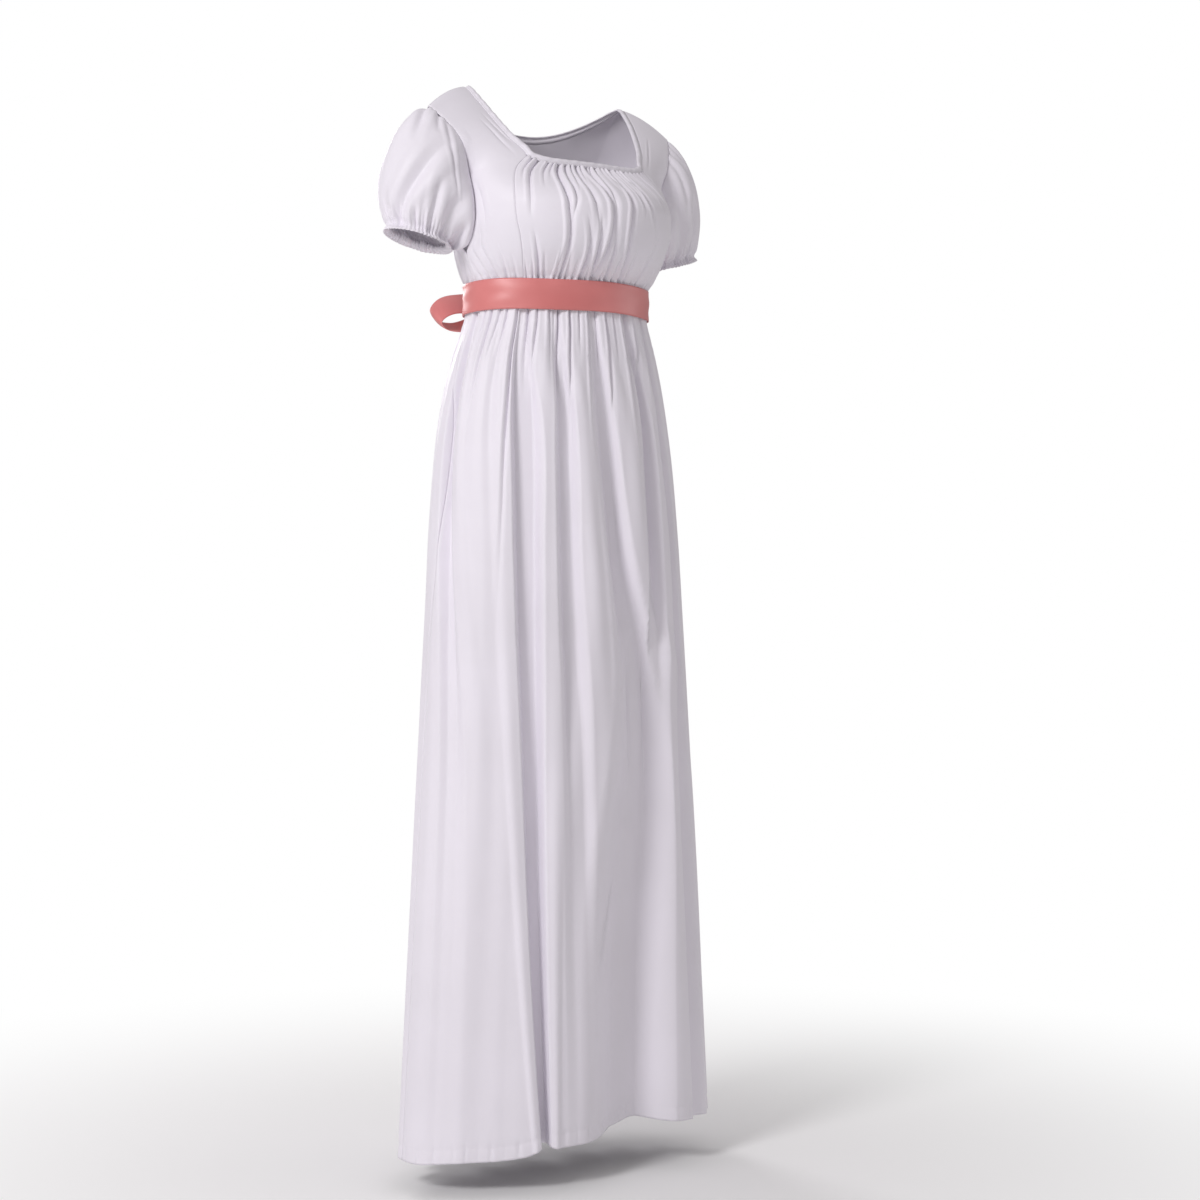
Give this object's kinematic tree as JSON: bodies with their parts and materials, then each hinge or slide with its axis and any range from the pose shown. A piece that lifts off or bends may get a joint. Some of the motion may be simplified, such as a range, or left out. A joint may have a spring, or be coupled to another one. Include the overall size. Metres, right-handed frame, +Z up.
{
  "type": "regency gown",
  "caption": "Hollow, ankle-length gown with a high waist, square neck, gathered front, short puff sleeves, long gathered skirt and a ribbon sash tied in a bow behind.",
  "frame": {"origin": "midway between the shoulders, level with the neck ends of the shoulder seams, where the wearer's shoulders hold the gown", "axes": "+Z up along the gown, -Y the way its front faces, +X the wearer's left"},
  "size_m": [0.4816, 0.2873, 1.3316],
  "materials": {
    "white_satin": "smooth, softly shining matte satin",
    "coral_ribbon": "satin ribbon with a soft sheen"
  },
  "bodies": {
    "root": {"bodice_front_centre": "white_satin", "bodice_side_front_left": "white_satin", "bodice_side_front_right": "white_satin", "bodice_back": "white_satin", "neck_binding": "white_satin", "sleeve_left": "white_satin", "sleeve_right": "white_satin", "skirt_front": "white_satin", "skirt_back": "white_satin", "sash_band": "coral_ribbon", "sash_knot": "coral_ribbon", "sash_loop_left": "coral_ribbon", "sash_loop_right": "coral_ribbon", "sash_tail_left": "coral_ribbon", "sash_tail_right": "coral_ribbon"}
  },
  "joints": []
}
